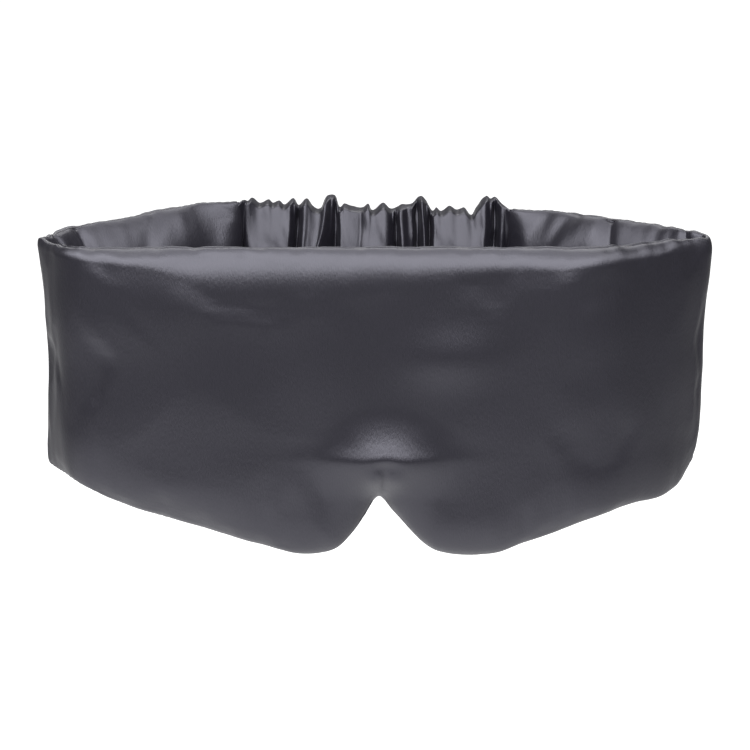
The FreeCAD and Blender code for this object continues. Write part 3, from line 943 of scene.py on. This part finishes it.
def strap_casing():
    """The ruched casing as one closed tube: along it, cloth stands out by curves through the
    gathers; round it, the two faces meet at the top and foot in a superellipse."""
    u = np.linspace(-52.5, 52.5, 480)
    top = through(TOP_EDGE, u)
    front, lean = gathers(u)
    back = through(BACK_GATHERS, u)
    foot = strap_foot(u)
    knobs = top - np.convolve(np.pad(top, 30, "edge"), np.hanning(61) / np.hanning(61).sum(), "valid")
    half = 80
    turn = np.linspace(-math.pi / 2, math.pi / 2, half)
    share = (1 + np.sin(turn)) / 2
    down = (1 - share)[:, None]
    z = foot + (top - foot) * share[:, None]
    to_top = top - z
    to_foot = z - foot
    closing = (0.8 * quarter(to_top, 0.6) + 0.2 * quarter(to_top, 18.0)) * quarter(to_foot, 5.0)
    lean_back = leaning(z)
    ends = smooth((52.5 - np.abs(u)) / 7.0)
    keep = 0.3 + 0.7 * ends
    held = smooth((to_top - 4.0) / 8.0) * 1.1 - 0.8 * smooth((12.0 - to_top) / 8.0)
    faces = []
    for stand, sign, waves in ((front, -1, 0.0), (back, 1, 0.4)):
        fine = ripple(u + 0.4 * z, ((5.3, 0.05, 0.1 + waves), (3.7, 0.03, 0.5 + waves)))
        cross = ripple(z + 0.8 * u, ((17.0, 0.16, 0.2 + waves), (9.0, 0.06, 0.9)))
        small = 0.3 * knobs * np.exp(-to_top / 6.0)
        packed = held + (stand + 0.8) * (1.0 - held / 9.0)
        packed = packed + 4.0 * np.exp(-to_top / 10.0) * smooth((4.5 - stand) / 4.0)
        deep = np.maximum(packed + fine + cross + small, 0.3) * closing * keep
        sway = 0.5 * ripple(z, ((23.0, 1.0, 0.1), (13.0, 0.5, 0.6))) * ends
        x = u + lean * smooth(down * 2.2) * (1 if sign < 0 else 0.4) + sway * down
        faces.append(np.stack([x + 0 * z, 35.0 + lean_back * ends + sign * deep, z], -1))
    grid = np.concatenate([faces[0], faces[1][-2:0:-1]])
    around = np.concatenate([share * 60.0, 120.0 - share[-2:0:-1] * 60.0])[:, None]
    uv = np.stack([np.broadcast_to(u * 2.2, grid.shape[:2]), np.broadcast_to(around, grid.shape[:2])], -1)
    return grid, uv


class MASK_OT_strap(bpy.types.Operator):
    """Makes the ruched strap casing, the elastic in it and the seams that hold it"""

    bl_idname = "mask.strap"
    bl_label = "Strap"

    def execute(self, context):
        grid, uv = strap_casing()
        casing = tube_mesh("strap_ruched_casing", grid, uv)
        dress(casing, "woven_satin_lining", "satin", "strap_outer_cover", "strap_inner_cover")
        bend_strap(casing)
        run = np.linspace(-50.0, 50.0, 200)
        turn = np.linspace(0.0, 2 * math.pi, 33)[:-1][:, None]
        flat_z = 26.0 + 19.0 * np.sign(np.sin(turn)) * np.abs(np.sin(turn)) ** 0.4 + 0 * run
        round_y = 0.3 * np.sign(np.cos(turn)) * np.abs(np.cos(turn)) ** 0.4
        flat_y = 35.35 + leaning(flat_z) * smooth((52.5 - np.abs(run)) / 7.0) + round_y
        band = tube_mesh("strap_elastic_band", np.stack([run + 0 * flat_z, flat_y, flat_z], -1))
        dress(band, "woven_elastic", "elastic", "strap_elastic")
        bend_strap(band)
        run = np.linspace(-49.0, 49.0, 260)
        middle = np.stack([run, np.full_like(run, 35.0), strap_foot(run) - 0.2], -1)
        hem = seam_tube("strap_casing_stitching", run, middle, 0.4, 2.4)
        dress(hem, "spun_thread", "sewing_thread", "strap_casing_seam")
        bend_strap(hem)
        for side, name in ((-1, "left"), (1, "right")):
            z = np.linspace(-4.0, 55.6 if side < 0 else 52.6, 160)
            middle = np.stack([np.full_like(z, side * 52.0), np.full_like(z, 35.0), z], -1)
            bar = seam_tube(f"{name}_strap_stitching", z, middle, 0.6, 2.4)
            dress(bar, "spun_thread", "sewing_thread", f"{name}_strap_seam")
            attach(bar, f"strap_{name}")
        return {"FINISHED"}


# The power of the box at the right, as a share of the one at the left
RIGHT_SHARE = 0.8


class MASK_OT_stage(bpy.types.Operator):
    """Makes the pale floor with its painted glow, the soft light and the camera"""

    bl_idname = "mask.stage"
    bl_label = "Stage"

    def execute(self, context):
        look = context.scene.mask_look
        reach = 12.0
        level = look.floor_height
        corners = (
            (-reach, -reach, level), (reach, -reach, level), (reach, reach, level), (-reach, reach, level)
        )
        floor = add_mesh("floor", np.array(corners) / MM, [(0, 1, 2, 3)])
        made, tree, surface = new_material("floor_with_painted_glow", {"Roughness": 0.9, "Specular IOR Level": 0.1})
        surface.inputs["Base Color"].default_value = linear("#c6c6c6")
        surface.inputs["Emission Color"].default_value = linear("#ffffff")
        place = add_node(tree, "ShaderNodeTexCoord")
        depth = add_node(tree, "ShaderNodeSeparateXYZ", links={"Vector": place.outputs["Object"]})
        # Painted light: the floor gives off a white glow only far behind the mask, fading out to the sides;
        # it stands in for a bright backdrop and shows in the satin's reflections
        glow = add_node(
            tree,
            "ShaderNodeMapRange",
            {"From Min": 0.6, "From Max": 0.98, "To Min": 0.0, "To Max": look.floor_glow},
            {"interpolation_type": "SMOOTHSTEP"},
            {"Value": depth.outputs["Y"]},
        )
        away = add_node(
            tree, "ShaderNodeMath", {1: 1.0}, {"operation": "ADD"}, {0: depth.outputs["Y"]}
        )
        aside = add_node(
            tree,
            "ShaderNodeMath",
            settings={"operation": "DIVIDE"},
            links={0: depth.outputs["X"], 1: away.outputs[0]},
        )
        beside = add_node(
            tree, "ShaderNodeMath", settings={"operation": "ABSOLUTE"}, links={0: aside.outputs[0]}
        )
        fade = add_node(
            tree,
            "ShaderNodeMapRange",
            {"From Min": 0.4, "From Max": 0.2, "To Min": 0.0, "To Max": 1.0},
            {"interpolation_type": "SMOOTHSTEP"},
            {"Value": beside.outputs[0]},
        )
        both = add_node(
            tree,
            "ShaderNodeMath",
            settings={"operation": "MULTIPLY"},
            links={0: glow.outputs["Result"], 1: fade.outputs["Result"]},
        )
        tree.links.new(both.outputs[0], surface.inputs["Emission Strength"])
        floor.data.materials.append(made)
        world = bpy.data.worlds.new("studio")
        world.use_nodes = True
        world.node_tree.nodes["Background"].inputs["Color"].default_value = linear("#ffffff")
        world.node_tree.nodes["Background"].inputs["Strength"].default_value = look.room_light
        context.scene.world = world
        lamps = (
            ("overhead_box", (-0.1, -1.08, 1.02), (2.6, 1.3), look.top_light),
            ("ceiling_box", (0.0, -0.15, 1.55), (2.4, 0.8), look.ceiling_light),
            ("right_wing_box", (1.25, -0.45, 1.3), (1.0, 1.2), look.wing_light * RIGHT_SHARE),
            ("left_wing_box", (-1.25, -0.45, 1.3), (1.0, 1.2), look.wing_light),
            ("back_box", (0.0, 0.75, 1.15), (1.1, 1.1), look.back_light),
            ("left_box", (-1.4, 0.1, 0.5), (0.7, 0.7), look.side_light),
            ("bounce_card", (-0.12, -0.15, -0.44), (0.9, 0.9), look.bounce_light),
        )
        for name, place, size, power in lamps:
            lamp = bpy.data.lights.new(name, "AREA")
            lamp.shape = "RECTANGLE"
            lamp.size, lamp.size_y = size
            lamp.energy = power
            holder = bpy.data.objects.new(name, lamp)
            holder.location = place
            holder.rotation_euler = (-Vector(place)).to_track_quat("-Z", "Y").to_euler()
            context.scene.collection.objects.link(holder)
        rise = look.camera_rise
        target = Vector((0.0, 0.0, -0.0014))
        eye = bpy.data.cameras.new("camera")
        eye.lens = look.camera_lens
        eye.sensor_width = 36.0
        holder = bpy.data.objects.new("camera", eye)
        holder.location = target + Vector((0.0, -math.cos(rise), math.sin(rise))) * look.camera_distance
        holder.rotation_euler = (target - holder.location).to_track_quat("-Z", "Y").to_euler()
        context.scene.collection.objects.link(holder)
        context.scene.camera = holder
        context.scene.view_settings.view_transform = "Standard"
        return {"FINISHED"}


# ---- what a user may change ----


def length(name, description, default):
    """A length in the sidebar, in metres."""
    return bpy.props.FloatProperty(
        name=name, description=description, default=default, unit="LENGTH", min=0.0
    )


def colour(name, description, default):
    """A colour in the sidebar, as an sRGB hex value."""
    return bpy.props.StringProperty(name=name, description=description, default=default)


class MaskSizes(bpy.types.PropertyGroup):
    """Sizes of the mask's soft shape"""

    fold_radius: length("Fold radius", "Radius of the middle of the padding at each fold", 0.0032)
    left_corner: length("Left corner radius", "Radius of the front's left corner, from above", 0.012)
    wrinkle_cap: length("Wrinkle cap", "How far a wrinkle of the cloth may stand out", 0.0006)
    right_corner: length("Right corner radius", "Radius of the front's right corner, from above", 0.032)


class MaskColours(bpy.types.PropertyGroup):
    """Colours of the mask's cloths"""

    satin: colour("Satin cover", "Colour of the outer satin, as an sRGB hex value", "#111015")
    lining: colour("Satin lining", "Colour of the lining satin, as an sRGB hex value", "#111015")
    wadding: colour("Wadding", "Colour of the padding, as an sRGB hex value", "#d8d6d0")
    blackout: colour("Light-stopping layer", "Colour of the layer behind the cover", "#101012")
    elastic: colour("Elastic", "Colour of the elastic band", "#26262a")
    thread: colour("Thread", "Colour of the sewing thread", "#2a292e")


class MaskLook(bpy.types.PropertyGroup):
    """Floor, light and camera"""

    floor_height: bpy.props.FloatProperty(
        name="Floor height", description="Height of the floor", default=-0.6, unit="LENGTH"
    )
    floor_glow: bpy.props.FloatProperty(
        name="Floor glow", description="Light given off by the floor", default=0.95
    )
    room_light: bpy.props.FloatProperty(
        name="Room light", description="Strength of the even light", default=0.2
    )
    top_light: bpy.props.FloatProperty(
        name="Top light", description="Power of the box overhead", default=78.0, unit="POWER"
    )
    side_light: bpy.props.FloatProperty(
        name="Side light", description="Power of the box at the left", default=0.3, unit="POWER"
    )
    ceiling_light: bpy.props.FloatProperty(
        name="Ceiling light", description="Power of the box on the ceiling", default=20.0, unit="POWER"
    )
    wing_light: bpy.props.FloatProperty(
        name="Wing light", description="Power of the box at the left side", default=16.0, unit="POWER"
    )
    back_light: bpy.props.FloatProperty(
        name="Back light", description="Power of the box behind and above", default=14.0, unit="POWER"
    )
    bounce_light: bpy.props.FloatProperty(
        name="Bounce light", description="Power of the card below", default=1.7, unit="POWER"
    )
    camera_rise: bpy.props.FloatProperty(
        name="Camera rise", description="Angle above level", default=math.radians(16.0), subtype="ANGLE"
    )
    camera_distance: length("Camera distance", "From the camera to the mask's middle", 1.0)
    camera_lens: bpy.props.FloatProperty(
        name="Camera lens", description="Focal length in millimetres", default=127.5, unit="CAMERA"
    )


class MASK_PT_panel(bpy.types.Panel):
    """Lists the mask's pieces, sizes and colours"""

    bl_label = "Eye Mask"
    bl_space_type = "VIEW_3D"
    bl_region_type = "UI"
    bl_category = "Eye Mask"

    def draw(self, context):
        for step in STEPS:
            self.layout.operator(step.bl_idname)
        for group in ("mask_sizes", "mask_colours", "mask_look"):
            values = getattr(context.scene, group)
            for key in values.__annotations__:
                self.layout.prop(values, key)


STEPS = (MASK_OT_stage, MASK_OT_front, MASK_OT_wings, MASK_OT_filling, MASK_OT_seams, MASK_OT_strap)
GROUPS = (("mask_sizes", MaskSizes), ("mask_colours", MaskColours), ("mask_look", MaskLook))


def register():
    """Registers the groups, the operators and the panel."""
    for name, group in GROUPS:
        bpy.utils.register_class(group)
        setattr(bpy.types.Scene, name, bpy.props.PointerProperty(type=group))
    for step in STEPS:
        bpy.utils.register_class(step)
    bpy.utils.register_class(MASK_PT_panel)


def unregister():
    """Takes them away again, last first."""
    bpy.utils.unregister_class(MASK_PT_panel)
    for step in reversed(STEPS):
        bpy.utils.unregister_class(step)
    for name, group in reversed(GROUPS):
        delattr(bpy.types.Scene, name)
        bpy.utils.unregister_class(group)


def main():
    register()
    for step in STEPS:
        group, name = step.bl_idname.split(".")
        getattr(getattr(bpy.ops, group), name)()


if __name__ == "__main__":
    main()
